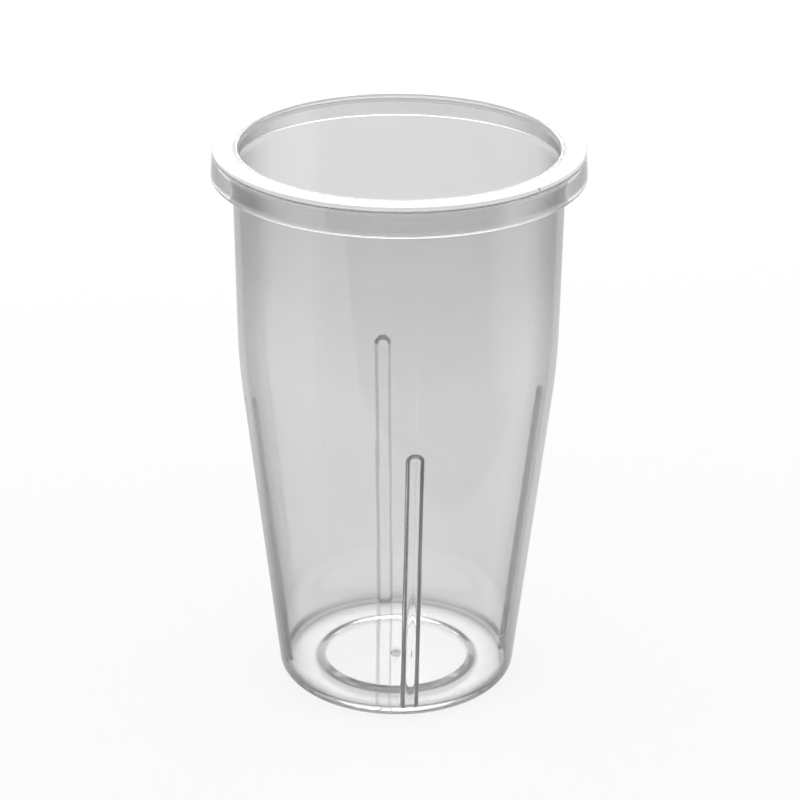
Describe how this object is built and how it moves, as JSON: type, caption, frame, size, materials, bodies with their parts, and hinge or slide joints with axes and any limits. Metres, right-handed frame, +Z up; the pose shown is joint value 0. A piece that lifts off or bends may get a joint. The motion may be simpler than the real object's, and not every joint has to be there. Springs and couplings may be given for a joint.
{
  "type": "milkshake machine cup",
  "caption": "Tall clear plastic cup for a milkshake mixer: tapered body with a soft bend, folded rim with a hanging skirt, and half-round ribs inside that break up the swirl.",
  "frame": {"origin": "centre of the foot, on the surface the cup stands on", "axes": "+Z up along the cup's axis towards the mouth; the ribs stand on the X and Y axes"},
  "size_m": [0.11, 0.11, 0.172],
  "materials": {
    "clear_plastic": "polished clear polycarbonate with a faint grey tint"
  },
  "bodies": {
    "root": {"cup": "clear_plastic"}
  },
  "joints": []
}
